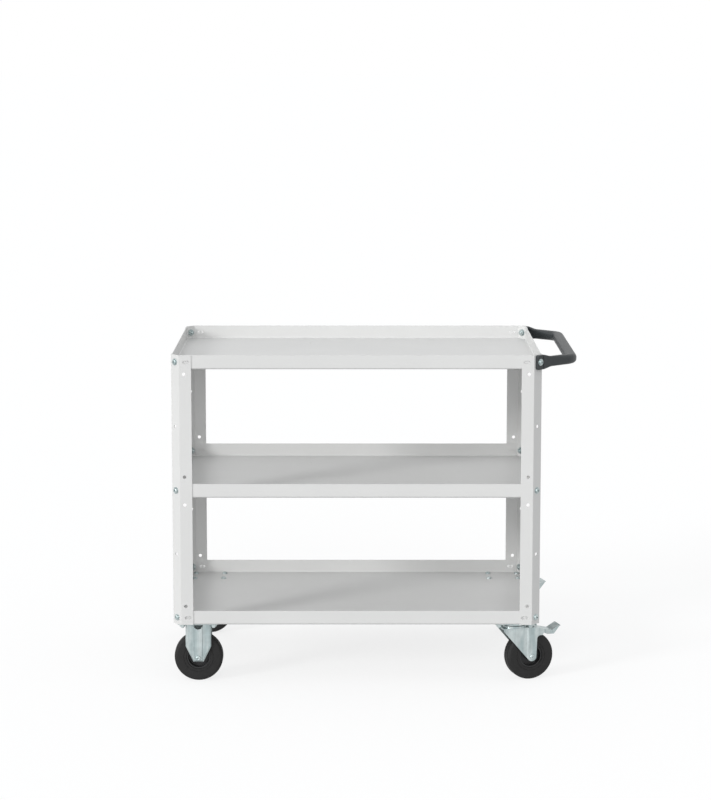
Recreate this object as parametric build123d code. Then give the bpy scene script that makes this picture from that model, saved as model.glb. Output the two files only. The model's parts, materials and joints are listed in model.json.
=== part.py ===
from build123d import *
from math import asin, cos, degrees, radians, sin, sqrt, tan
import os

# Three-tray tool cart in bolted sheet steel, in millimetres. +Z is up, +X points to the
# push handle, and the origin is on the floor under the middle of the whole cart.

# ---- frame: overall sizes ----
BODY_LENGTH = 938.0
BODY_DEPTH = 600.0
TRAY_PITCH = 330.0
TRAY_COUNT = 3
LIP_HEIGHT = 36.0
HANDLE_REACH = 94.0

# ---- sheet metal ----
POST_SHEET = 2.0
POST_WIDTH = 52.0
POST_CHAMFER = 20.5
POST_TOP_DROP = 1.0
BEND_RADIUS = 1.0
TRAY_SHEET = 1.5
TRAY_CORNER_RADIUS = 1.5
TRAY_FLOOR_RADIUS = 3.0

# ---- holes ----
HOLE_CLEARANCE = 1.0
FLANGE_HOLE_INSET = 33.0
FLANGE_HOLE_RISE = (36.2, 299.5)
SLOT_INSET = 39.0
SLOT_LENGTH = 17.0
SLOT_HEIGHT = 8.0
KNOCKOUT_CLEARANCE = 1.0
KNOCKOUT_SLIT = 1.1
KNOCKOUT_TIE = 2.0

# ---- fasteners ----
BOLT_DIAMETER = 8.0
THREAD_GAP = 0.02
HEAD_DIAMETER = 17.0
HEAD_FLANGE = 1.4
HEAD_DOME_DIAMETER = 13.0
HEAD_HEIGHT = 5.0
HEAD_ROUND = 2.6
SOCKET_ACROSS = 5.0
SOCKET_DEPTH = 2.6
NUT_ACROSS = 13.0
NUT_HEIGHT = 6.5
NUT_FLANGE_DIAMETER = 18.0
NUT_FLANGE_HEIGHT = 1.6
BOLT_END = 3.5
CASTER_HEAD_DIAMETER = 14.0
CASTER_HEAD_HEIGHT = 4.4

# ---- push handle ----
GRIP_WIDTH = 29.0
GRIP_HEIGHT = 25.0
GRIP_ROUND = 10.5
GRIP_CORNER_RADIUS = 42.0
GRIP_CORNER_INSET = 81.0
HANDLE_DROP = 1.0
PADDLE_THICKNESS = 8.0
PADDLE_HEIGHT = 37.0
PADDLE_BEHIND = 9.5
PADDLE_AHEAD = 20.0
PADDLE_ROUND = 5.0
PADDLE_EDGE = 1.5
ARM_HEIGHT = 26.0
ARM_ROUND = 3.5
ARM_NECK = 42.0
NECK_OVERLAP = 8.0
NECK_STEPS = 6
NECK_SWELL = 3.0

# ---- wheels ----
WHEEL_DIAMETER = 125.0
TYRE_WIDTH = 37.0
TYRE_SHOULDER = 9.0
TYRE_INNER_DIAMETER = 62.0
TYRE_GROOVE_DIAMETER = 76.0
TYRE_GROOVE_WIDTH = 1.2
TYRE_GROOVE_DEPTH = 0.8
RIM_WIDTH = 33.0
RIM_WALL = 4.0
RIM_WEB = 6.0
HUB_DIAMETER = 26.0
HUB_LENGTH = 42.0
ROLLER_DIAMETER = 2.9
ROLLER_COUNT = 8
CAGE_WALL = 1.8
RUN_GAP = 0.05
SLEEVE_DIAMETER = 12.0

# ---- casters ----
CASTER_HEADROOM = 31.0
PLATE_LENGTH = 105.0
PLATE_WIDTH = 85.0
PLATE_SHEET = 3.0
PLATE_ROUND = 9.0
PLATE_INSET = 10.0
PATTERN_LENGTH = 80.0
PATTERN_WIDTH = 60.0
LEG_SHEET = 2.5
LEG_GAP = 3.0
LEG_RELIEF = 3.0
BODY_GAP = 0.3

# ---- fixed bracket ----
BRACKET_WIDTH = 65.5
BRACKET_FOOT = 26.0
BRACKET_TAPER_RISE = 30.0
BRACKET_FOOT_DROP = 11.0
BRACKET_WEB = 2.5
RIB_WIDTH = 23.0
RIB_RISE = 2.0
ARCH_RADIUS = 12.3
ARCH_DROP = 3.0

# ---- swivel fork ----
TRAIL = 40.0
TURN = 17.0
CROWN_RADIUS = 30.5
CROWN_TOP_DROP = 10.5
FORK_TOP_DROP = 16.0
FORK_WEB = 4.0
FORK_FRONT = 36.0
FORK_REAR = 55.0
FORK_SIDE_HEIGHT = 7.0
FORK_BOSS_RADIUS = 12.0
STRIP_OFFSET = 13.0
STRIP_RISE = 3.5
EAR_REACH = 74.0
EAR_DROP = 38.5
EAR_FILLET = 9.0
KINGPIN_RADIUS = 6.0
KINGPIN_FLANGE = 11.0
KINGPIN_FLANGE_HEIGHT = 4.5
COUNTERSINK = 2.0
BALL_PITCH_RADIUS = 24.0
BALL_COUNT = 14
SKIRT_WALL = 2.5
SKIRT_HEIGHT = 6.0

# ---- brake ----
PIVOT_REACH = 50.0
PIVOT_DROP = 23.0
PIVOT_PIN_RADIUS = 3.0
PIVOT_TUBE_RADIUS = 6.0
PIN_HEAD_RADIUS = 5.0
PIN_HEAD_HEIGHT = 1.5
PEDAL_WIDTH = 38.0
PEDAL_SHEET = 3.0
PEDAL_CHEEK = 2.5
BRAKE_ANGLE = 10.0
TREAD_ANGLE = 30.0
TREAD_LENGTH = 27.0
PEDAL_KNEE = 97.0
PEDAL_KNEE_DROP = 31.0
CHEEK_DROP = 39.0
CHEEK_FRONT = 24.0
CHEEK_BACK = 6.0
SHOE_START = 60.0
SHOE_END = 77.0
SHOE_WIDTH = 28.0
SPRING_SHEET = 1.0
SPRING_WIDTH = 14.0
SPRING_LENGTH = 22.0

# ---- tray floor ----
DRAIN_DIAMETER = 5.0
DRAIN_INSET_X = 345.0
DRAIN_INSET_Y = 105.0

# ---- sizes that follow ----
AXLE_Z = WHEEL_DIAMETER / 2
PLATE_TOP = WHEEL_DIAMETER + CASTER_HEADROOM
PLATE_BOTTOM = PLATE_TOP - PLATE_SHEET
BODY_X = -HANDLE_REACH / 2
HALF_LENGTH = BODY_LENGTH / 2
HALF_DEPTH = BODY_DEPTH / 2
RIM_HEIGHT = PLATE_TOP + (TRAY_COUNT - 1) * TRAY_PITCH + LIP_HEIGHT
POST_TOP = RIM_HEIGHT - POST_TOP_DROP
TRAY_FLOORS = [PLATE_TOP + n * TRAY_PITCH for n in range(TRAY_COUNT)]
BOLT_LEVELS = [z + LIP_HEIGHT / 2 for z in TRAY_FLOORS]
SPARE_LEVELS = [z + TRAY_PITCH / 2 for z in BOLT_LEVELS[:-1]]
POST_MIDDLE = (PLATE_TOP + RIM_HEIGHT) / 2
LEG_INNER = TYRE_WIDTH / 2 + LEG_GAP
LEG_OUTER = LEG_INNER + LEG_SHEET
CASTER_X = HALF_LENGTH - PLATE_INSET - PLATE_LENGTH / 2
CASTER_Y = HALF_DEPTH - PLATE_INSET - PLATE_WIDTH / 2
BOLT_RADIUS = BOLT_DIAMETER / 2
HOLE_DIAMETER = BOLT_DIAMETER + HOLE_CLEARANCE
GRIP_CORNER_SPREAD = BODY_DEPTH - 2 * GRIP_CORNER_INSET
PIVOT_Z = PLATE_TOP - PIVOT_DROP
FORK_TOP = PLATE_TOP - FORK_TOP_DROP

SIDES = {"front": -1, "rear": 1}
ENDS = {"left": -1, "right": 1}


def save(shape, node):
    export_step(shape, f"parts/{node}.step")


def group(solids):
    return Compound(children=list(solids))


def tube(outer, inner, height):
    return Cylinder(outer, height) - Cylinder(inner, height)


def along_y(shape):
    """Turn a shape built along +Z so that it points along -Y."""
    return Rot(90, 0, 0) * shape


def slab(sketch, near, far):
    """Extrude an upright sketch from Y = near to Y = far."""
    return extrude(Plane(origin=(0, far, 0), x_dir=(1, 0, 0), z_dir=(0, -1, 0)) * sketch, far - near)


def corner_frame(end, side, height, middle=BODY_X):
    """Frame at a post's chamfer: origin on its outer face, +Z outward, +X upward."""
    reach = POST_CHAMFER / 2
    spot = (middle + end * (HALF_LENGTH - reach), side * (HALF_DEPTH - reach), height)
    return Plane(origin=spot, x_dir=(0, 0, 1), z_dir=(end, side, 0))


# ---- frame parts ----
def post_profile():
    """L with a chamfered outer corner, in the quadrant of the front left post."""
    inner = POST_CHAMFER + POST_SHEET * (sqrt(2) - 1)
    outline = Polyline(
        (POST_WIDTH, 0), (POST_CHAMFER, 0), (0, POST_CHAMFER), (0, POST_WIDTH),
        (POST_SHEET, POST_WIDTH), (POST_SHEET, inner), (inner, POST_SHEET), (POST_WIDTH, POST_SHEET),
        close=True)
    face = make_face(outline)
    bends = [v for v in face.vertices() if max(v.X, v.Y) < POST_WIDTH - POST_SHEET]
    inside = [v for v in bends if min(v.X, v.Y) > POST_SHEET / 2]
    outside = [v for v in bends if min(v.X, v.Y) < POST_SHEET / 2]
    face = fillet(outside, BEND_RADIUS + POST_SHEET)
    inside = [v for v in face.vertices() if (v.X, v.Y) in [(w.X, w.Y) for w in inside]]
    return fillet(inside, BEND_RADIUS)


def flange_cutter():
    """Round holes and obround slots of one flange, along +Y, at X from the outer corner."""
    cutters = []
    for rise in FLANGE_HOLE_RISE:
        for level in (POST_MIDDLE - rise, POST_MIDDLE + rise):
            cutters.append(Pos(FLANGE_HOLE_INSET, 0, level) * along_y(
                Cylinder(HOLE_DIAMETER / 2, 4 * POST_SHEET)))
    for level in (BOLT_LEVELS[0], BOLT_LEVELS[-1]):
        cutters.append(Pos(SLOT_INSET, 0, level) * along_y(
            extrude(SlotOverall(SLOT_LENGTH, SLOT_HEIGHT), 2 * POST_SHEET, both=True)))
    return cutters


def chamfer_cutter(levels, across):
    """Round holes through the chamfer of the front left corner, in its own quadrant."""
    middle = across / 2
    return [Pos(middle, middle, level) * Rot(0, 0, 45) * Rot(0, 90, 0) * Cylinder(HOLE_DIAMETER / 2, 20)
            for level in levels]


def post():
    """Front left post, with its outer corner at X = 0, Y = 0."""
    body = Pos(0, 0, PLATE_TOP) * extrude(post_profile(), POST_TOP - PLATE_TOP)
    holes = flange_cutter()
    holes += [mirror(hole, Plane(origin=(0, 0, 0), z_dir=(1, -1, 0))) for hole in flange_cutter()]
    holes += chamfer_cutter(BOLT_LEVELS + SPARE_LEVELS, POST_CHAMFER)
    return body - holes


def place_post(shape, end, side):
    """Mirror the front left post into a corner and move it there."""
    if end > 0:
        shape = mirror(shape, Plane.YZ)
    if side > 0:
        shape = mirror(shape, Plane.XZ)
    return Pos(BODY_X + end * HALF_LENGTH, side * HALF_DEPTH, 0) * shape


def tray_outline(inset, radius):
    """Rectangle with corners cut at 45 degrees, inset from the outside of the posts."""
    length = BODY_LENGTH - 2 * inset
    depth = BODY_DEPTH - 2 * inset
    cut = POST_CHAMFER - inset * (2 - sqrt(2))
    face = chamfer(Rectangle(length, depth).vertices(), cut)
    return fillet(face.vertices(), radius)


def knockout():
    """Slit round an obround blank through the lip, broken above and below by the ties that hold it."""
    length = SLOT_LENGTH - 2 * KNOCKOUT_CLEARANCE
    height = SLOT_HEIGHT - 2 * KNOCKOUT_CLEARANCE
    blank = SlotOverall(length - 2 * KNOCKOUT_SLIT, height - 2 * KNOCKOUT_SLIT)
    tie = Rectangle(KNOCKOUT_TIE, 2 * height)
    return extrude(SlotOverall(length, height) - blank - tie, 2 * TRAY_SHEET, both=True)


def knockout_frames():
    """Frames on the outside of the lips near each corner, facing outward, with +X along the lip."""
    frames = []
    level = LIP_HEIGHT / 2
    for end in ENDS.values():
        for side in SIDES.values():
            x = end * (HALF_LENGTH - SLOT_INSET)
            y = side * (HALF_DEPTH - SLOT_INSET)
            frames.append(Plane(origin=(x, side * (HALF_DEPTH - POST_SHEET), level),
                                x_dir=(1, 0, 0), z_dir=(0, side, 0)))
            frames.append(Plane(origin=(end * (HALF_LENGTH - POST_SHEET), y, level),
                                x_dir=(0, 1, 0), z_dir=(end, 0, 0)))
    return frames


def tray():
    """Pan with a folded lip, on a floor whose underside is at Z = 0."""
    shell = extrude(tray_outline(POST_SHEET, TRAY_CORNER_RADIUS + TRAY_SHEET), LIP_HEIGHT)
    shell = fillet(shell.faces().sort_by(Axis.Z)[0].edges(), TRAY_FLOOR_RADIUS + TRAY_SHEET)
    hollow = Pos(0, 0, TRAY_SHEET) * extrude(
        tray_outline(POST_SHEET + TRAY_SHEET, TRAY_CORNER_RADIUS), LIP_HEIGHT)
    hollow = fillet(hollow.faces().sort_by(Axis.Z)[0].edges(), TRAY_FLOOR_RADIUS)
    pan = shell - hollow
    slit = knockout()
    pan -= [frame * slit for frame in knockout_frames()]
    for end in ENDS.values():
        for side in SIDES.values():
            pan -= corner_frame(end, side, LIP_HEIGHT / 2, 0) * Cylinder(HOLE_DIAMETER / 2, 20)
    pan -= Pos(DRAIN_INSET_X - HALF_LENGTH, HALF_DEPTH - DRAIN_INSET_Y, 0) * Cylinder(DRAIN_DIAMETER / 2, 20)
    return pan


def with_caster_holes(pan):
    """Bottom tray: four bolt holes over each caster plate."""
    for end in ENDS.values():
        for side in SIDES.values():
            spot = Pos(end * CASTER_X, side * CASTER_Y, 0)
            pan -= [spot * hole for hole in caster_holes(HOLE_DIAMETER / 2)]
    return pan


def caster_holes(radius):
    return [Pos(x, y, 0) * Cylinder(radius, 20) for x, y in caster_pattern()]


def caster_pattern():
    return [(a * PATTERN_LENGTH / 2, b * PATTERN_WIDTH / 2) for a in (-1, 1) for b in (-1, 1)]


# ---- fasteners, all along Z with the seat at Z = 0 and the head upward ----
def bolt(length, head_diameter=HEAD_DIAMETER, head_height=HEAD_HEIGHT):
    """Domed flange bolt with a hexagon socket; its shank goes down from the seat."""
    rim = head_diameter / 2
    dome = Pos(0, 0, head_height / 2) * Cylinder(min(HEAD_DOME_DIAMETER / 2, rim), head_height)
    dome = fillet(dome.edges().sort_by(Axis.Z)[-1], HEAD_ROUND)
    head = dome + Pos(0, 0, HEAD_FLANGE / 2) * Cylinder(rim, HEAD_FLANGE)
    recess = Pos(0, 0, head_height - SOCKET_DEPTH) * extrude(
        RegularPolygon(SOCKET_ACROSS / sqrt(3), 6), SOCKET_DEPTH)
    shank = Pos(0, 0, -length / 2) * Cylinder(BOLT_RADIUS, length)
    shank = chamfer(shank.edges().sort_by(Axis.Z)[0], 0.8)
    return head - recess + shank


def nut(flanged=True):
    """Hexagon nut that sits on top of Z = 0."""
    body = extrude(RegularPolygon(NUT_ACROSS / sqrt(3), 6), NUT_HEIGHT)
    body &= Pos(0, 0, NUT_HEIGHT / 2) * chamfer(Cylinder(NUT_ACROSS / sqrt(3), NUT_HEIGHT).edges(), 0.9)
    if flanged:
        body += Pos(0, 0, NUT_FLANGE_HEIGHT / 2) * Cylinder(NUT_FLANGE_DIAMETER / 2, NUT_FLANGE_HEIGHT)
    return body - Cylinder(BOLT_RADIUS + THREAD_GAP, 3 * NUT_HEIGHT)


def corner_bolts():
    """Bolts from outside through each chamfer and tray corner, apart from the handle's two."""
    grip = POST_SHEET + TRAY_SHEET
    one = bolt(grip + NUT_HEIGHT + BOLT_END)
    return [corner_frame(end, side, level) * one
            for end in ENDS.values() for side in SIDES.values() for level in BOLT_LEVELS
            if not (end > 0 and level == BOLT_LEVELS[-1])]


def corner_nuts():
    """Nuts inside every tray corner."""
    depth = POST_SHEET + TRAY_SHEET
    one = nut()
    return [corner_frame(end, side, level).offset(-depth) * Rot(180, 0, 0) * one
            for end in ENDS.values() for side in SIDES.values() for level in BOLT_LEVELS]


def handle_bolts():
    grip = PADDLE_THICKNESS + POST_SHEET + TRAY_SHEET
    one = bolt(grip + NUT_HEIGHT + BOLT_END)
    return [corner_frame(1, side, BOLT_LEVELS[-1]).offset(PADDLE_THICKNESS) * one
            for side in SIDES.values()]


def caster_bolts():
    """Low-head bolts from the bottom tray down through the caster plates."""
    grip = TRAY_SHEET + PLATE_SHEET
    one = bolt(grip + NUT_HEIGHT + BOLT_END, CASTER_HEAD_DIAMETER, CASTER_HEAD_HEIGHT)
    return [Pos(BODY_X + end * CASTER_X + x, side * CASTER_Y + y, PLATE_TOP + TRAY_SHEET) * one
            for end in ENDS.values() for side in SIDES.values() for x, y in caster_pattern()]


def caster_nuts():
    one = Rot(180, 0, 0) * nut(flanged=False)
    return [Pos(BODY_X + end * CASTER_X + x, side * CASTER_Y + y, PLATE_BOTTOM) * one
            for end in ENDS.values() for side in SIDES.values() for x, y in caster_pattern()]


# ---- push handle ----
def bar_section(width, height, radius):
    return RectangleRounded(width, height, radius)


def handle_arm(side):
    """Paddle on the chamfer, neck and tapering arm of one side, up to the grip's corner."""
    frame = corner_frame(1, side, BOLT_LEVELS[-1] - HANDLE_DROP)
    middle = frame.offset(PADDLE_THICKNESS / 2).origin
    corner = Vector(BODY_X + HALF_LENGTH + HANDLE_REACH - GRIP_WIDTH / 2,
                    side * GRIP_CORNER_SPREAD / 2, middle.Z)
    away = (corner - middle).normalized()
    turn = radians(90) - asin(min(1, abs(away.X)))
    straight = (corner - middle).length - GRIP_CORNER_RADIUS * tan((radians(90) - turn) / 2)
    length = PADDLE_BEHIND + PADDLE_AHEAD
    flat = Box(PADDLE_HEIGHT, length, PADDLE_THICKNESS)
    flat = fillet(flat.edges().filter_by(Axis.Z), PADDLE_ROUND)
    flat = fillet(flat.faces().sort_by(Axis.Z)[-1].edges(), PADDLE_EDGE)
    toward = 1 if (frame.y_dir.X > 0) else -1
    paddle = frame * Pos(0, toward * (PADDLE_AHEAD - PADDLE_BEHIND) / 2, PADDLE_THICKNESS / 2) * flat
    paddle -= corner_frame(1, side, BOLT_LEVELS[-1]) * Cylinder(HOLE_DIAMETER / 2, 4 * PADDLE_THICKNESS)
    faces = neck_sections(middle, away)
    neck = loft(faces, ruled=True)
    end = station(middle, away, straight) * bar_section(GRIP_WIDTH, GRIP_HEIGHT, GRIP_ROUND)
    arm = loft([faces[-1], end], ruled=True)
    bend = grip_corner(middle, away, straight, side)
    return paddle + neck + arm + bend


def neck_sections(middle, away):
    """Sections from inside the paddle to the start of the arm, eased at both ends."""
    start = PADDLE_AHEAD - NECK_OVERLAP
    faces = []
    for step in range(NECK_STEPS + 1):
        part = step / NECK_STEPS
        ease = part * part * (3 - 2 * part)
        width = PADDLE_THICKNESS + ease * NECK_SWELL
        height = PADDLE_HEIGHT + ease * (ARM_HEIGHT - PADDLE_HEIGHT)
        at = start + part * (ARM_NECK - start)
        faces.append(station(middle, away, at) * bar_section(width, height, ARM_ROUND))
    return faces


def station(start, away, distance):
    """Section plane across the arm: X across the arm in plan, Y upward."""
    return Plane(origin=start + away * distance, x_dir=away.cross(Vector(0, 0, 1)), z_dir=away)


def grip_corner(middle, away, straight, side):
    """Bend between an arm and the grip: the grip's section turned about an upright axis."""
    plane = station(middle, away, straight)
    inward = Vector(away.Y, -away.X, 0) * (1 if away.Y < 0 else -1)
    centre = plane.origin + inward * -GRIP_CORNER_RADIUS * (1 if inward.X > 0 else -1)
    sweep_angle = 90 - degrees(asin(abs(away.Y)))
    axis = Axis(centre, (0, 0, 1 if side > 0 else -1))
    face = plane * bar_section(GRIP_WIDTH, GRIP_HEIGHT, GRIP_ROUND)
    return revolve(face, axis, -sweep_angle)


def push_handle():
    arms = [handle_arm(side) for side in SIDES.values()]
    reach = BODY_X + HALF_LENGTH + HANDLE_REACH - GRIP_WIDTH / 2
    height = BOLT_LEVELS[-1] - HANDLE_DROP
    grip_end = min(abs(face.center().Y) for arm in arms for face in arm.faces()
                   if abs(face.normal_at().Y) > 0.999 and face.center().X > reach - 1)
    plane = Plane(origin=(reach, -grip_end, height), x_dir=(1, 0, 0), z_dir=(0, 1, 0))
    grip = extrude(plane * bar_section(GRIP_WIDTH, GRIP_HEIGHT, GRIP_ROUND), 2 * grip_end)
    return arms[0] + grip + arms[1]


# ---- wheels, about an axle along Y at the origin ----
def tyre():
    radius = WHEEL_DIAMETER / 2
    inner = TYRE_INNER_DIAMETER / 2
    body = tube(radius, inner, TYRE_WIDTH)
    rims = body.edges().filter_by(GeomType.CIRCLE)
    body = fillet([edge for edge in rims if edge.radius > radius - 1], TYRE_SHOULDER)
    groove = tube((TYRE_GROOVE_DIAMETER + TYRE_GROOVE_WIDTH) / 2,
                  (TYRE_GROOVE_DIAMETER - TYRE_GROOVE_WIDTH) / 2, 2 * TYRE_GROOVE_DEPTH)
    for end in ENDS.values():
        body -= Pos(0, 0, end * TYRE_WIDTH / 2) * groove
    return along_y(body)


def rim():
    outer = TYRE_INNER_DIAMETER / 2
    ring = tube(outer, outer - RIM_WALL, RIM_WIDTH)
    web = Cylinder(outer - RIM_WALL / 2, RIM_WEB)
    hub = Cylinder(HUB_DIAMETER / 2, HUB_LENGTH)
    bore = Cylinder(roller_pitch() + ROLLER_DIAMETER / 2 + RUN_GAP, 2 * HUB_LENGTH)
    return along_y(ring + web + hub - bore)


def roller_pitch():
    return SLEEVE_DIAMETER / 2 + RUN_GAP + ROLLER_DIAMETER / 2


def bearing_cage():
    """Thin tube between the sleeve and the hub, with a window for each roller."""
    pitch = roller_pitch()
    length = HUB_LENGTH - 1
    body = tube(pitch + CAGE_WALL / 2, pitch - CAGE_WALL / 2, length)
    window = Box(ROLLER_DIAMETER, ROLLER_DIAMETER + 4 * RUN_GAP, length - 6)
    for turn in range(ROLLER_COUNT):
        body -= Rot(0, 0, turn * 360 / ROLLER_COUNT) * Pos(pitch, 0, 0) * window
    return along_y(body)


def rollers():
    one = Cylinder(ROLLER_DIAMETER / 2, HUB_LENGTH - 7.4)
    return [along_y(Rot(0, 0, turn * 360 / ROLLER_COUNT) * Pos(roller_pitch(), 0, 0) * one)
            for turn in range(ROLLER_COUNT)]


def axle_sleeve():
    """Spacer tube that the legs clamp and the rollers run on."""
    return along_y(tube(SLEEVE_DIAMETER / 2, BOLT_RADIUS + THREAD_GAP, 2 * LEG_INNER))


def axle_bolt(outside):
    """Bolt along Y, its head on the front face of the leg at Y = -outside."""
    length = 2 * outside + NUT_HEIGHT + 2
    body = bolt(length, CASTER_HEAD_DIAMETER, CASTER_HEAD_HEIGHT)
    return Pos(0, -outside, 0) * along_y(body)


def axle_nut(outside):
    return Pos(0, outside, 0) * Rot(-90, 0, 0) * nut(flanged=False)


# ---- fixed caster, about the middle of its plate at floor level ----
def plate():
    face = RectangleRounded(PLATE_LENGTH, PLATE_WIDTH, PLATE_ROUND)
    body = Pos(0, 0, PLATE_BOTTOM) * extrude(face, PLATE_SHEET)
    return body - [Pos(0, 0, PLATE_TOP) * hole for hole in caster_holes(HOLE_DIAMETER / 2)]


def leg_outline(inset):
    half = BRACKET_WIDTH / 2 - inset
    foot = BRACKET_FOOT / 2 - inset * 0.6
    knee = AXLE_Z + BRACKET_TAPER_RISE
    sole = AXLE_Z - BRACKET_FOOT_DROP + inset
    return make_face(Polyline((-half, PLATE_BOTTOM), (half, PLATE_BOTTOM), (half, knee),
                              (foot, sole), (-foot, sole), (-half, knee), close=True))


def fixed_leg():
    """Pressed leg on the rear side: a shallow pan with bevelled edges and a middle rib."""
    outside = LEG_OUTER + LEG_RELIEF
    body = slab(leg_outline(0), LEG_INNER, outside)
    face = body.faces().sort_by(Axis.Y)[-1]
    edges = [edge for edge in face.edges() if edge.center().Z < PLATE_BOTTOM - 1]
    body = chamfer(edges, LEG_RELIEF)
    body -= slab(leg_outline(LEG_SHEET), LEG_INNER, LEG_INNER + LEG_RELIEF)
    low = AXLE_Z - BRACKET_FOOT_DROP + LEG_RELIEF
    height = PLATE_BOTTOM - low
    rib = Pos(0, outside + RIB_RISE / 2, low + height / 2) * Box(RIB_WIDTH, RIB_RISE, height)
    rib = chamfer(rib.faces().sort_by(Axis.Y)[-1].edges(), RIB_RISE * 0.9)
    return body + rib - Pos(0, 0, AXLE_Z) * along_y(Cylinder(BOLT_RADIUS + THREAD_GAP, 200))


def fixed_bracket():
    leg = fixed_leg()
    outside = LEG_OUTER + LEG_RELIEF
    web = Pos(0, 0, PLATE_BOTTOM - BRACKET_WEB / 2) * Box(BRACKET_WIDTH, 2 * outside, BRACKET_WEB)
    body = plate() + web + leg + mirror(leg, Plane.XZ)
    arch = Pos(0, 0, PLATE_BOTTOM - ARCH_DROP) * along_y(Cylinder(ARCH_RADIUS, 200))
    keep = Pos(0, 0, PLATE_BOTTOM + 50) * Box(200, 200, 100)
    return body - (arch - keep)


def fixed_outside():
    return LEG_OUTER + LEG_RELIEF + RIB_RISE


# ---- swivel caster: pivot axis at X = 0, wheel trailing toward +X ----
def swivel_plate():
    """Top plate with a dust skirt round the balls and a countersunk hole for the kingpin."""
    inner = BALL_PITCH_RADIUS + ball_radius() + BODY_GAP
    skirt = Pos(0, 0, PLATE_BOTTOM - SKIRT_HEIGHT / 2) * tube(inner + SKIRT_WALL, inner, SKIRT_HEIGHT)
    hole = Pos(0, 0, PLATE_TOP) * Cylinder(KINGPIN_RADIUS + THREAD_GAP, 40)
    cone = Pos(0, 0, PLATE_TOP - COUNTERSINK / 2) * Cone(
        KINGPIN_RADIUS + THREAD_GAP, KINGPIN_RADIUS + THREAD_GAP + COUNTERSINK, COUNTERSINK)
    return plate() + skirt - hole - cone


def ball_radius():
    return (CROWN_TOP_DROP - PLATE_SHEET - 2 * BODY_GAP) / 2


def swivel_balls():
    height = PLATE_BOTTOM - BODY_GAP - ball_radius()
    return [Rot(0, 0, turn * 360 / BALL_COUNT) * Pos(BALL_PITCH_RADIUS, 0, height) * Sphere(ball_radius())
            for turn in range(BALL_COUNT)]


def kingpin():
    """Rivet with a countersunk top and a flange that carries the fork's crown."""
    flange_top = FORK_TOP - FORK_WEB - BODY_GAP
    low = flange_top - KINGPIN_FLANGE_HEIGHT
    shaft = Pos(0, 0, (PLATE_TOP + low) / 2) * Cylinder(KINGPIN_RADIUS, PLATE_TOP - low)
    head = Pos(0, 0, PLATE_TOP - COUNTERSINK / 2) * Cone(
        KINGPIN_RADIUS, KINGPIN_RADIUS + COUNTERSINK, COUNTERSINK)
    flange = Pos(0, 0, flange_top - KINGPIN_FLANGE_HEIGHT / 2) * Cylinder(
        KINGPIN_FLANGE, KINGPIN_FLANGE_HEIGHT)
    return shaft + head + flange


def fork_outline():
    """Leg that narrows from the crown down to a round boss at the axle."""
    top = Pos((FORK_REAR - FORK_FRONT) / 2, FORK_TOP - FORK_SIDE_HEIGHT / 2) * Rectangle(
        FORK_REAR + FORK_FRONT, FORK_SIDE_HEIGHT)
    boss_circle = Pos(TRAIL, AXLE_Z) * Circle(FORK_BOSS_RADIUS)
    leg = make_hull(Sketch(children=[top, boss_circle]).edges())
    low = PLATE_TOP - EAR_DROP
    ear = make_face(Polyline((TRAIL, FORK_TOP), (EAR_REACH - 4, FORK_TOP - 4), (EAR_REACH, FORK_TOP - 12),
                             (EAR_REACH - 5, low), (TRAIL, low), close=True))
    outline = leg + ear
    armpit = [v for v in outline.vertices() if abs(v.Y - low) < 0.01 and v.X < EAR_REACH - 8]
    return fillet(armpit, EAR_FILLET)


def fork():
    outline = fork_outline()
    leg = slab(outline, LEG_INNER, LEG_OUTER)
    left = TRAIL - STRIP_OFFSET
    right = EAR_REACH - left
    zone = Pos(left + right / 2, AXLE_Z) * Rectangle(right, 2 * PLATE_TOP)
    strip = slab(outline & zone, LEG_OUTER, LEG_OUTER + STRIP_RISE)
    edge = strip.edges().filter_by(Axis.Z).group_by(Axis.Y)[-1].sort_by(Axis.X)[0]
    leg += chamfer(edge, STRIP_RISE * 0.8)
    leg -= Pos(TRAIL, 0, AXLE_Z) * along_y(Cylinder(BOLT_RADIUS + THREAD_GAP, 200))
    leg -= Pos(PIVOT_REACH, 0, PIVOT_Z) * along_y(Cylinder(PIVOT_PIN_RADIUS + THREAD_GAP, 200))
    span = FORK_FRONT + TRAIL
    web = Pos(span / 2 - FORK_FRONT, 0, FORK_TOP - FORK_WEB / 2) * Box(span, 2 * LEG_OUTER, FORK_WEB)
    crown_height = FORK_TOP_DROP - CROWN_TOP_DROP
    crown = Pos(0, 0, FORK_TOP + crown_height / 2) * Cylinder(CROWN_RADIUS, crown_height)
    bore = Pos(0, 0, FORK_TOP) * Cylinder(KINGPIN_RADIUS + RUN_GAP, 60)
    return leg + mirror(leg, Plane.XZ) + web + crown - bore


def fork_outside():
    return LEG_OUTER + STRIP_RISE


def pivot_pin():
    half = fork_outside()
    shaft = Cylinder(PIVOT_PIN_RADIUS, 2 * half)
    heads = [Pos(0, 0, end * (half + PIN_HEAD_HEIGHT / 2)) * Cylinder(PIN_HEAD_RADIUS, PIN_HEAD_HEIGHT)
             for end in (-1, 1)]
    return Pos(PIVOT_REACH, 0, PIVOT_Z) * along_y(shaft + heads)


def pressed_tyre(clearance):
    """The tyre's outline as the pedal meets it when pressed down, in the pedal's rest pose."""
    reach = TRAIL - PIVOT_REACH
    rise = AXLE_Z - PIVOT_Z
    turn = radians(BRAKE_ANGLE)
    x = PIVOT_REACH + reach * cos(turn) - rise * sin(turn)
    z = PIVOT_Z + reach * sin(turn) + rise * cos(turn)
    return Pos(x, 0, z) * along_y(Cylinder(WHEEL_DIAMETER / 2 + clearance, 2 * PEDAL_WIDTH))


def pedal_corners():
    """Knee where the tread starts to rise, and the tread's tip."""
    knee = (PEDAL_KNEE, PLATE_TOP - PEDAL_KNEE_DROP)
    rise = radians(TREAD_ANGLE)
    return knee, (knee[0] + TREAD_LENGTH * cos(rise), knee[1] + TREAD_LENGTH * sin(rise))


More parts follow.
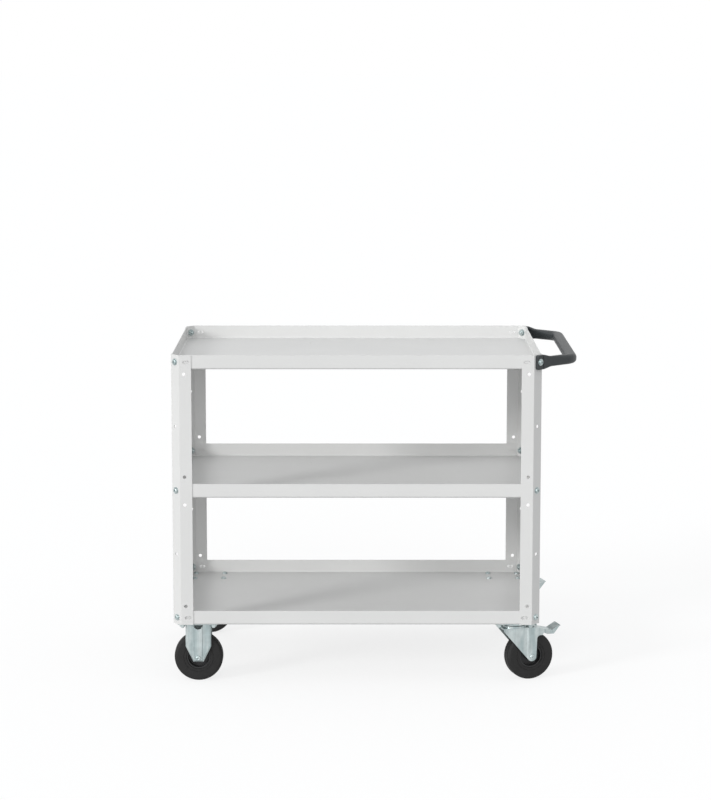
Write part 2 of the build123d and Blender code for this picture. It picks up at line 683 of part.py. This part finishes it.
def pedal_path():
    knee, tip = pedal_corners()
    start = (PIVOT_REACH, PIVOT_Z + PIVOT_TUBE_RADIUS - PEDAL_SHEET / 2)
    return Polyline(start, (PIVOT_REACH + 14, PIVOT_Z - 1), knee, tip)


def brake_pedal():
    """Lever: a folded tread strip between two cheeks, on a tube round the pivot pin."""
    half = PEDAL_WIDTH / 2
    strip = slab(trace(pedal_path(), PEDAL_SHEET), -half, half)
    low = PLATE_TOP - CHEEK_DROP
    knee, tip = pedal_corners()
    cheek_face = make_face(Polyline(
        (PIVOT_REACH, PIVOT_Z + PIVOT_TUBE_RADIUS), (PIVOT_REACH + 14, PIVOT_Z), knee, tip,
        (PEDAL_KNEE + CHEEK_BACK, low), (PIVOT_REACH + CHEEK_FRONT, low),
        (PIVOT_REACH, PIVOT_Z - PIVOT_TUBE_RADIUS), close=True))
    cheek = slab(cheek_face, half - PEDAL_CHEEK, half)
    lever = strip + cheek + mirror(cheek, Plane.XZ)
    lever += Pos(PIVOT_REACH, 0, PIVOT_Z) * along_y(Cylinder(PIVOT_TUBE_RADIUS, PEDAL_WIDTH))
    lever -= Pos(PIVOT_REACH, 0, PIVOT_Z) * along_y(Cylinder(PIVOT_PIN_RADIUS + RUN_GAP, 200))
    return lever - pressed_tyre(1.5)


def brake_shoe():
    """Block under the lever, hollowed to the tyre where it meets it when pressed down."""
    half = SHOE_WIDTH / 2
    top = PIVOT_Z - 3
    length = SHOE_END - SHOE_START
    block = Pos(SHOE_START + length / 2, 0, top - 15) * Box(length, SHOE_WIDTH, 30)
    block = block - slab(trace(pedal_path(), PEDAL_SHEET), -half, half) - pressed_tyre(BODY_GAP)
    return block.solids().sort_by(Axis.Z)[0] if len(block.solids()) > 1 else block.solids()[0]


def brake_spring():
    """Leaf under the fork's web that bears toward the lever's tube."""
    end = PIVOT_REACH - PIVOT_TUBE_RADIUS - 1.0
    top = FORK_TOP - FORK_WEB
    path = Polyline((end - SPRING_LENGTH - 6, top - SPRING_SHEET / 2), (end - 8, top - SPRING_SHEET / 2),
                    (end, top - SPRING_SHEET / 2 - 3))
    leaf = slab(trace(path, SPRING_SHEET), -SPRING_WIDTH / 2, SPRING_WIDTH / 2)
    return leaf - Pos(0, 0, top + 5) * Box(400, 400, 10)


# ---- assembly ----
def save_wheel(place, name):
    """Tyre, rim, cage and rollers of one wheel, all turning about the axle."""
    save(place * tyre(), f"tyre_{name}")
    save(place * rim(), f"rim_{name}")
    save(place * bearing_cage(), f"bearing_cage_{name}")
    save(place * group(rollers()), f"bearing_rollers_{name}")


def save_axle(place, name, outside):
    save(place * axle_sleeve(), f"axle_sleeve_{name}")
    save(place * axle_bolt(outside), f"axle_bolt_{name}")
    save(place * axle_nut(outside), f"axle_nut_{name}")


def save_fixed_caster(side_name):
    name = f"{side_name}_left"
    place = Pos(BODY_X - CASTER_X, SIDES[side_name] * CASTER_Y, 0)
    save(place * fixed_bracket(), f"fixed_bracket_{name}")
    axle = place * Pos(0, 0, AXLE_Z)
    save_axle(axle, name, fixed_outside())
    save_wheel(axle, name)


def save_swivel_caster(side_name):
    name = f"{side_name}_right"
    base = Pos(BODY_X + CASTER_X, SIDES[side_name] * CASTER_Y, 0)
    save(base * swivel_plate(), f"swivel_plate_{name}")
    save(base * kingpin(), f"kingpin_{name}")
    place = base * Rot(0, 0, TURN)
    save(place * fork(), f"fork_{name}")
    save(place * group(swivel_balls()), f"swivel_balls_{name}")
    save(place * pivot_pin(), f"pedal_pin_{name}")
    save(place * brake_spring(), f"brake_spring_{name}")
    save(place * brake_pedal(), f"brake_pedal_{name}")
    save(place * brake_shoe(), f"brake_shoe_{name}")
    axle = place * Pos(TRAIL, 0, AXLE_Z)
    save_axle(axle, name, fork_outside())
    save_wheel(axle, name)


def main():
    os.makedirs("parts", exist_ok=True)
    upright = post()
    for side_name, side in SIDES.items():
        for end_name, end in ENDS.items():
            save(place_post(upright, end, side), f"post_{side_name}_{end_name}")
    pan = tray()
    for name, level in zip(("bottom", "middle", "top"), TRAY_FLOORS):
        shape = with_caster_holes(pan) if name == "bottom" else pan
        save(Pos(BODY_X, 0, level) * shape, f"tray_{name}")
    save(group(corner_bolts()), "corner_bolts")
    save(group(corner_nuts()), "corner_nuts")
    save(group(handle_bolts()), "handle_bolts")
    save(group(caster_bolts()), "caster_bolts")
    save(group(caster_nuts()), "caster_nuts")
    save(push_handle(), "push_handle")
    for side_name in SIDES:
        save_fixed_caster(side_name)
        save_swivel_caster(side_name)


main()
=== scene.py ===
import bmesh
import bpy
import json
from math import cos, pi, radians, sin
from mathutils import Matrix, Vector


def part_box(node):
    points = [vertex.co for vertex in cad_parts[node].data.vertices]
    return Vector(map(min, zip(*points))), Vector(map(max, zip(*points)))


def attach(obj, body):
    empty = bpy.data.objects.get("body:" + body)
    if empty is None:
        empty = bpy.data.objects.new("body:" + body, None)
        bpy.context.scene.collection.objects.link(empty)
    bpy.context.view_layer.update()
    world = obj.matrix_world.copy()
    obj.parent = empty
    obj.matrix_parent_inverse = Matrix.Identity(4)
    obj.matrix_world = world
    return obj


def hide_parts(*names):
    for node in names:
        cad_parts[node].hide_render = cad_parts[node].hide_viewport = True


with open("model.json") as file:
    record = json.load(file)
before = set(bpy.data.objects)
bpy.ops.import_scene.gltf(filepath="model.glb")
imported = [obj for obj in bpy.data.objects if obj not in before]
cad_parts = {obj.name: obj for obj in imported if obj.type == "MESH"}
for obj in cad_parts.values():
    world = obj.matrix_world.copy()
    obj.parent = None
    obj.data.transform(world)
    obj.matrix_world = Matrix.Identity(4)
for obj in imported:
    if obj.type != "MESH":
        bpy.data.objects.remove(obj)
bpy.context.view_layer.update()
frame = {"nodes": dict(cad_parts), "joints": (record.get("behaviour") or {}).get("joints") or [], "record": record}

NODES = frame["nodes"]
BODIES = frame["record"]["behaviour"]["bodies"]
BODY_OF = {node: body for body, nodes in BODIES.items() for node in nodes}
SLOT_OF = {part["node"]: part["material_slot"] for part in frame["record"]["subparts"]}

# ---- places read from the frame, in metres ----
POST_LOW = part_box("post_front_left")[0]
FAR_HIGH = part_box("post_rear_right")[1]
BODY_MIDDLE_X = (POST_LOW.x + FAR_HIGH.x) / 2
FRONT_Y = POST_LOW.y

# ---- camera: metres, radians and millimetres of lens ----
CAMERA_SIDESTEP = -0.0024
CAMERA_DISTANCE = 6.1643
CAMERA_HEIGHT = 1.7096
CAMERA_TILT = 0.1401
LENS = 111.21
SENSOR = 36.0
SHIFT_Y = -0.05
FARTHEST_SEEN = 200

# ---- light: direction to each sun, strength, angle in degrees ----
SUNS = {
    "key": ((-0.74, -0.60, 0.30), 1.7, 14.0),
    "fill": ((0.0, -0.93, 0.35), 0.7, 40.0),
}
WORLD_LIGHT = 0.77
WORLD_TINT = (0.97, 0.985, 1.0, 1)
FLOOR_REACH = 60.0
FLOOR_GLOW = 0.78
FLOOR_SEEN = 1.0
FLOOR_BOUNCE = 0.5

# ---- colours (linear) ----
PAINT = (0.62, 0.62, 0.612)
ZINC = (0.50, 0.555, 0.555)
ZINC_ROUGHNESS = 0.36
PLASTIC = (0.020, 0.0245, 0.027)
RUBBER = (0.0098, 0.0096, 0.0096)
RIM_BLACK = (0.009, 0.009, 0.010)
CAGE_NYLON = (0.5, 0.46, 0.36)
STEEL_DARK = (0.55, 0.55, 0.56)
STEEL_LIGHT = (0.66, 0.66, 0.67)
# dark tone of the upright streaks of painted reflection on the zinc
PAINTED_REFLECTION_SHADE = (0.74, 0.79, 0.8)
WHITE = (1.0, 1.0, 1.0)

# ---- rounding of sharp edges, in metres ----
EDGE_WIDTHS = {
    "post": 0.0005, "tray": 0.0004, "push_handle": 0.0008, "corner_bolts": 0.0003,
    "handle_bolts": 0.0003, "corner_nuts": 0.0003, "caster_bolts": 0.0003, "caster_nuts": 0.0003,
    "fixed_bracket": 0.0006, "fork": 0.0006, "swivel_plate": 0.0005, "brake_pedal": 0.0005,
    "pedal_pin": 0.0003, "axle_bolt": 0.0003, "axle_nut": 0.0003, "rim": 0.0006, "brake_shoe": 0.0008,
}
BEVEL_SEGMENTS = 2
BEVEL_ANGLE = 28
SKIN_SHARP_ANGLE = 50
TYRE_SHARP_ANGLE = 35
FLAT_ANGLE = 0.6
WELD_DISTANCE = 1e-6
FLAT_WEIGHT = 90

# ---- tyre section, in metres: radius and half width, from the bore outward ----
TYRE_SECTION = (
    (0.0310, 0.0180), (0.0315, 0.0185), (0.0372, 0.0185), (0.0376, 0.01778), (0.0384, 0.01778),
    (0.0388, 0.0185), (0.0535, 0.0185), (0.0558, 0.01821), (0.0580, 0.01729), (0.0599, 0.01586),
    (0.0613, 0.0140), (0.0622, 0.0118), (0.0625, 0.0095), (0.0625, 0.0014), (0.06235, 0.0009),
    (0.06235, 0.0004), (0.0625, 0.0),
)
TYRE_STEPS = 160


# ---- sockets of the colour mix node, which repeats their names for each data type ----
MIX_FACTOR = 0
MIX_COLOUR_A = 6
MIX_COLOUR_B = 7
MIX_COLOUR_OUT = 2


# ---- shader helpers ----
def new_material(name):
    material = bpy.data.materials.new(name)
    material.use_nodes = True
    tree = material.node_tree
    tree.nodes.clear()
    output = tree.nodes.new("ShaderNodeOutputMaterial")
    shader = tree.nodes.new("ShaderNodeBsdfPrincipled")
    tree.links.new(shader.outputs["BSDF"], output.inputs["Surface"])
    return material, tree, shader


def object_coordinates(tree, stretch=(1, 1, 1)):
    coordinates = tree.nodes.new("ShaderNodeTexCoord")
    mapping = tree.nodes.new("ShaderNodeMapping")
    mapping.inputs["Scale"].default_value = stretch
    tree.links.new(coordinates.outputs["Object"], mapping.inputs["Vector"])
    return mapping.outputs["Vector"]


def noise(tree, vector, scale, detail=2.0, roughness=0.5):
    node = tree.nodes.new("ShaderNodeTexNoise")
    node.inputs["Scale"].default_value = scale
    node.inputs["Detail"].default_value = detail
    node.inputs["Roughness"].default_value = roughness
    tree.links.new(vector, node.inputs["Vector"])
    return node.outputs["Fac"]


def ramp(tree, value, stops):
    node = tree.nodes.new("ShaderNodeValToRGB")
    elements = node.color_ramp.elements
    while len(elements) < len(stops):
        elements.new(0.5)
    for element, (position, colour) in zip(elements, stops):
        element.position = position
        element.color = (*colour, 1)
    tree.links.new(value, node.inputs["Fac"])
    return node.outputs["Color"]


def spread(tree, value, low, high):
    node = tree.nodes.new("ShaderNodeMapRange")
    node.inputs["To Min"].default_value = low
    node.inputs["To Max"].default_value = high
    tree.links.new(value, node.inputs["Value"])
    return node.outputs["Result"]


def bump(tree, shader, height, distance, strength=1.0, previous=None):
    node = tree.nodes.new("ShaderNodeBump")
    node.inputs["Distance"].default_value = distance
    node.inputs["Strength"].default_value = strength
    tree.links.new(height, node.inputs["Height"])
    if previous is not None:
        tree.links.new(previous, node.inputs["Normal"])
    tree.links.new(node.outputs["Normal"], shader.inputs["Normal"])
    return node.outputs["Normal"]


def shade(colour, factor):
    return tuple(channel * factor for channel in colour)


# ---- materials ----
def paint_material():
    """Powder coat: even light grey, a fine orange-peel skin and a soft sheen."""
    material, tree, shader = new_material("powder_coat")
    place = object_coordinates(tree)
    cloud = noise(tree, place, scale=6.0, detail=3.0)
    colour = ramp(tree, cloud, [(0.3, shade(PAINT, 0.985)), (0.7, shade(PAINT, 1.015))])
    tree.links.new(colour, shader.inputs["Base Color"])
    gloss = noise(tree, place, scale=90.0, detail=3.0)
    tree.links.new(spread(tree, gloss, low=0.38, high=0.48), shader.inputs["Roughness"])
    coarse = noise(tree, place, scale=700.0, detail=2.0)
    peel = bump(tree, shader, coarse, distance=0.00002, strength=0.6)
    fine = noise(tree, place, scale=2600.0, detail=1.0)
    bump(tree, shader, fine, distance=0.000006, strength=0.5, previous=peel)
    shader.inputs["Specular IOR Level"].default_value = 0.45
    return material


def zinc_material():
    """Bright zinc plate over pressed steel: bluish, clouded, with upright streaks of painted dark reflection in
    its colour and fine upright drawing marks in its bump.
    """
    material, tree, shader = new_material("zinc_plate")
    place = object_coordinates(tree)
    upright = object_coordinates(tree, stretch=(1, 1, 0.12))
    cloud = noise(tree, place, scale=55.0, detail=4.0, roughness=0.6)
    # upright streaks of painted dark reflection, multiplied into the zinc colour
    painted_reflection_noise = noise(tree, upright, scale=75.0, detail=2.0, roughness=0.5)
    clouded = ramp(tree, cloud, [(0.32, shade(ZINC, 0.9)), (0.68, shade(ZINC, 1.12))])
    painted_reflection_streaks = ramp(tree, painted_reflection_noise, [(0.38, PAINTED_REFLECTION_SHADE), (0.55, WHITE)])
    blend = tree.nodes.new("ShaderNodeMix")
    blend.data_type = "RGBA"
    blend.blend_type = "MULTIPLY"
    blend.inputs[MIX_FACTOR].default_value = 1.0
    tree.links.new(clouded, blend.inputs[MIX_COLOUR_A])
    tree.links.new(painted_reflection_streaks, blend.inputs[MIX_COLOUR_B])
    tree.links.new(blend.outputs[MIX_COLOUR_OUT], shader.inputs["Base Color"])
    gloss = noise(tree, place, scale=240.0, detail=4.0)
    tree.links.new(spread(tree, gloss, low=ZINC_ROUGHNESS - 0.09, high=ZINC_ROUGHNESS + 0.08),
                   shader.inputs["Roughness"])
    drawn = noise(tree, upright, scale=520.0, detail=3.0)
    bump(tree, shader, drawn, distance=0.00003, strength=0.5)
    shader.inputs["Metallic"].default_value = 0.85
    return material


def steel_material():
    """Polished bearing steel with faint grinding marks."""
    material, tree, shader = new_material("bearing_steel")
    place = object_coordinates(tree, stretch=(1, 8, 1))
    gloss = noise(tree, place, scale=300.0, detail=3.0)
    tree.links.new(spread(tree, gloss, low=0.14, high=0.26), shader.inputs["Roughness"])
    cloud = noise(tree, place, scale=80.0)
    tree.links.new(ramp(tree, cloud, [(0.3, STEEL_DARK), (0.7, STEEL_LIGHT)]), shader.inputs["Base Color"])
    shader.inputs["Metallic"].default_value = 1.0
    return material


def plastic_material(name, colour, rough, grain=900.0):
    """Moulded plastic with a fine spark-eroded grain."""
    material, tree, shader = new_material(name)
    place = object_coordinates(tree)
    cloud = noise(tree, place, scale=40.0, detail=3.0)
    tree.links.new(ramp(tree, cloud, [(0.3, shade(colour, 0.93)), (0.7, shade(colour, 1.07))]),
                   shader.inputs["Base Color"])
    gloss = noise(tree, place, scale=300.0, detail=3.0)
    tree.links.new(spread(tree, gloss, low=rough - 0.05, high=rough + 0.07), shader.inputs["Roughness"])
    skin = noise(tree, place, scale=grain, detail=3.0, roughness=0.6)
    bump(tree, shader, skin, distance=0.00006, strength=0.6)
    return material


def rubber_material(name="tyre_rubber"):
    """Matt black rubber, slightly dusty, with a mottled skin."""
    material, tree, shader = new_material(name)
    place = object_coordinates(tree)
    dust = noise(tree, place, scale=75.0, detail=5.0, roughness=0.65)
    tree.links.new(ramp(tree, dust, [(0.35, shade(RUBBER, 0.85)), (0.75, shade(RUBBER, 1.35))]),
                   shader.inputs["Base Color"])
    gloss = noise(tree, place, scale=400.0, detail=3.0)
    tree.links.new(spread(tree, gloss, low=0.6, high=0.78), shader.inputs["Roughness"])
    shader.inputs["Specular IOR Level"].default_value = 0.35
    fine = noise(tree, place, scale=1500.0, detail=3.0)
    skin = bump(tree, shader, fine, distance=0.00005, strength=0.7)
    coarse = noise(tree, place, scale=220.0, detail=2.0)
    bump(tree, shader, coarse, distance=0.00008, strength=0.3, previous=skin)
    return material


def make_materials():
    return {
        "paint": paint_material(),
        "zinc": zinc_material(),
        "handle_plastic": plastic_material("handle_plastic", PLASTIC, rough=0.46),
        "tyre_rubber": rubber_material(),
        "rim_plastic": plastic_material("rim_plastic", RIM_BLACK, rough=0.5, grain=500.0),
        "cage_plastic": plastic_material("cage_plastic", CAGE_NYLON, rough=0.5),
        "bearing_steel": steel_material(),
        "shoe_rubber": rubber_material("shoe_rubber"),
    }


# ---- meshes ----
def softened(node, width):
    """A skin for a CAD node: the same shape with its flats merged and its sharp edges rounded."""
    source = NODES[node]
    mesh = source.data.copy()
    mesh.name = f"{node}_skin"
    work = bmesh.new()
    work.from_mesh(mesh)
    bmesh.ops.remove_doubles(work, verts=work.verts, dist=WELD_DISTANCE)
    bmesh.ops.dissolve_limit(work, angle_limit=radians(FLAT_ANGLE), verts=work.verts, edges=work.edges)
    work.to_mesh(mesh)
    work.free()
    piece = bpy.data.objects.new(f"{node}_skin", mesh)
    bpy.context.scene.collection.objects.link(piece)
    modifier = piece.modifiers.new("edges", "BEVEL")
    modifier.width = width
    modifier.segments = BEVEL_SEGMENTS
    modifier.limit_method = "ANGLE"
    modifier.angle_limit = radians(BEVEL_ANGLE)
    modifier.miter_outer = "MITER_ARC"
    apply_modifiers(piece)
    for polygon in piece.data.polygons:
        polygon.use_smooth = True
    piece.data.set_sharp_from_angle(angle=radians(SKIN_SHARP_ANGLE))
    level = piece.modifiers.new("normals", "WEIGHTED_NORMAL")
    level.keep_sharp = True
    level.weight = FLAT_WEIGHT
    apply_modifiers(piece)
    dress(piece, node)


def tyre(joint):
    """Moulded tread: a turned section with a ring on each wall and a parting line."""
    half = [(radius, -width) for radius, width in TYRE_SECTION]
    loop = half + [(radius, width) for radius, width in reversed(TYRE_SECTION[:-1])]
    axis = Vector(joint["axis"]).normalized()
    turn = axis.to_track_quat("Z", "Y").to_matrix()
    centre = Vector(joint["pos_m"])
    work = bmesh.new()
    rings = []
    for step in range(TYRE_STEPS):
        angle = 2 * pi * step / TYRE_STEPS
        points = [Vector((radius * cos(angle), radius * sin(angle), along)) for radius, along in loop]
        rings.append([work.verts.new(centre + turn @ point) for point in points])
    for here, after in zip(rings, rings[1:] + rings[:1]):
        for place in range(len(loop)):
            beyond = (place + 1) % len(loop)
            work.faces.new((here[place], after[place], after[beyond], here[beyond]))
    bmesh.ops.recalc_face_normals(work, faces=work.faces)
    node = f"tyre_{joint['child'][len('wheel_'):]}"
    mesh = bpy.data.meshes.new(f"{node}_skin")
    work.to_mesh(mesh)
    work.free()
    for polygon in mesh.polygons:
        polygon.use_smooth = True
    mesh.set_sharp_from_angle(angle=radians(TYRE_SHARP_ANGLE))
    piece = bpy.data.objects.new(f"{node}_skin", mesh)
    bpy.context.scene.collection.objects.link(piece)
    dress(piece, node)


def apply_modifiers(piece):
    """Replaces the piece's mesh with the result of its modifiers."""
    graph = bpy.context.evaluated_depsgraph_get()
    mesh = bpy.data.meshes.new_from_object(piece.evaluated_get(graph))
    piece.modifiers.clear()
    piece.data = mesh


def dress(piece, *nodes):
    """Gives a piece the material, body and slot of the CAD nodes that it stands for."""
    name = SLOT_OF[nodes[0]]
    piece.data.materials.clear()
    piece.data.materials.append(MATERIALS[name])
    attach(piece, BODY_OF[nodes[0]])
    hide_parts(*nodes)


# ---- stage ----
def make_camera():
    data = bpy.data.cameras.new("camera")
    data.lens = LENS
    data.sensor_fit = "VERTICAL"
    data.sensor_height = SENSOR
    data.shift_y = SHIFT_Y
    data.clip_end = FARTHEST_SEEN
    camera = bpy.data.objects.new("camera", data)
    camera.location = (BODY_MIDDLE_X + CAMERA_SIDESTEP, FRONT_Y - CAMERA_DISTANCE, CAMERA_HEIGHT)
    camera.rotation_euler = (pi / 2 - CAMERA_TILT, 0, 0)
    bpy.context.scene.collection.objects.link(camera)
    bpy.context.scene.camera = camera


def make_floor():
    """Pale floor that keeps the shadow and reads as nearly white where nothing shades it."""
    mesh = bpy.data.meshes.new("floor")
    corners = [(x * FLOOR_REACH, y * FLOOR_REACH, 0) for x, y in ((-1, -1), (1, -1), (1, 1), (-1, 1))]
    mesh.from_pydata(corners, [], [(0, 1, 2, 3)])
    floor = bpy.data.objects.new("floor", mesh)
    bpy.context.scene.collection.objects.link(floor)
    material = bpy.data.materials.new("floor")
    material.use_nodes = True
    tree = material.node_tree
    tree.nodes.clear()
    output = tree.nodes.new("ShaderNodeOutputMaterial")
    base = tree.nodes.new("ShaderNodeBsdfDiffuse")
    glow = tree.nodes.new("ShaderNodeEmission")
    glow.inputs["Strength"].default_value = 1.0
    blend = tree.nodes.new("ShaderNodeMixShader")
    seen = seen_ray(tree)
    amount = tree.nodes.new("ShaderNodeMath")
    amount.operation = "MULTIPLY"
    amount.inputs[1].default_value = FLOOR_GLOW
    tree.links.new(seen, amount.inputs[0])
    tone = spread(tree, seen, FLOOR_BOUNCE, FLOOR_SEEN)
    tree.links.new(tone, base.inputs["Color"])
    tree.links.new(amount.outputs[0], blend.inputs["Fac"])
    tree.links.new(base.outputs[0], blend.inputs[1])
    tree.links.new(glow.outputs[0], blend.inputs[2])
    tree.links.new(blend.outputs[0], output.inputs["Surface"])
    mesh.materials.append(material)


def seen_ray(tree):
    """1 for camera, glossy and transmission rays, else 0."""
    path = tree.nodes.new("ShaderNodeLightPath")
    total = path.outputs["Is Camera Ray"]
    for name in ("Is Glossy Ray", "Is Transmission Ray"):
        step = tree.nodes.new("ShaderNodeMath")
        step.operation = "MAXIMUM"
        tree.links.new(total, step.inputs[0])
        tree.links.new(path.outputs[name], step.inputs[1])
        total = step.outputs[0]
    return total


def make_world():
    world = bpy.data.worlds.new("world")
    bpy.context.scene.world = world
    world.use_nodes = True
    tree = world.node_tree
    tree.nodes.clear()
    output = tree.nodes.new("ShaderNodeOutputWorld")
    light = tree.nodes.new("ShaderNodeBackground")
    light.inputs["Color"].default_value = WORLD_TINT
    light.inputs["Strength"].default_value = WORLD_LIGHT
    white = tree.nodes.new("ShaderNodeBackground")
    white.inputs["Color"].default_value = (1, 1, 1, 1)
    white.inputs["Strength"].default_value = 1.0
    blend = tree.nodes.new("ShaderNodeMixShader")
    tree.links.new(seen_ray(tree), blend.inputs["Fac"])
    tree.links.new(light.outputs[0], blend.inputs[1])
    tree.links.new(white.outputs[0], blend.inputs[2])
    tree.links.new(blend.outputs[0], output.inputs["Surface"])


def make_suns():
    """Soft key from the left, low enough to reach under the trays, and a wide fill from the front."""
    for name, (source, strength, spread_angle) in SUNS.items():
        data = bpy.data.lights.new(name, "SUN")
        data.energy = strength
        data.angle = radians(spread_angle)
        lamp = bpy.data.objects.new(name, data)
        lamp.rotation_euler = Vector(source).to_track_quat("Z", "Y").to_euler()
        bpy.context.scene.collection.objects.link(lamp)


# ---- making ----
bpy.context.scene.view_settings.view_transform = "Standard"
MATERIALS = make_materials()
make_camera()
make_world()
make_floor()
make_suns()
for name, node in NODES.items():
    node.data.materials.clear()
    node.data.materials.append(MATERIALS[SLOT_OF[name]])
for name in NODES:
    kind = next((kind for kind in EDGE_WIDTHS if name.startswith(kind)), None)
    if kind:
        softened(name, EDGE_WIDTHS[kind])
for joint in frame["joints"]:
    if joint["name"].startswith("wheel_"):
        tyre(joint)
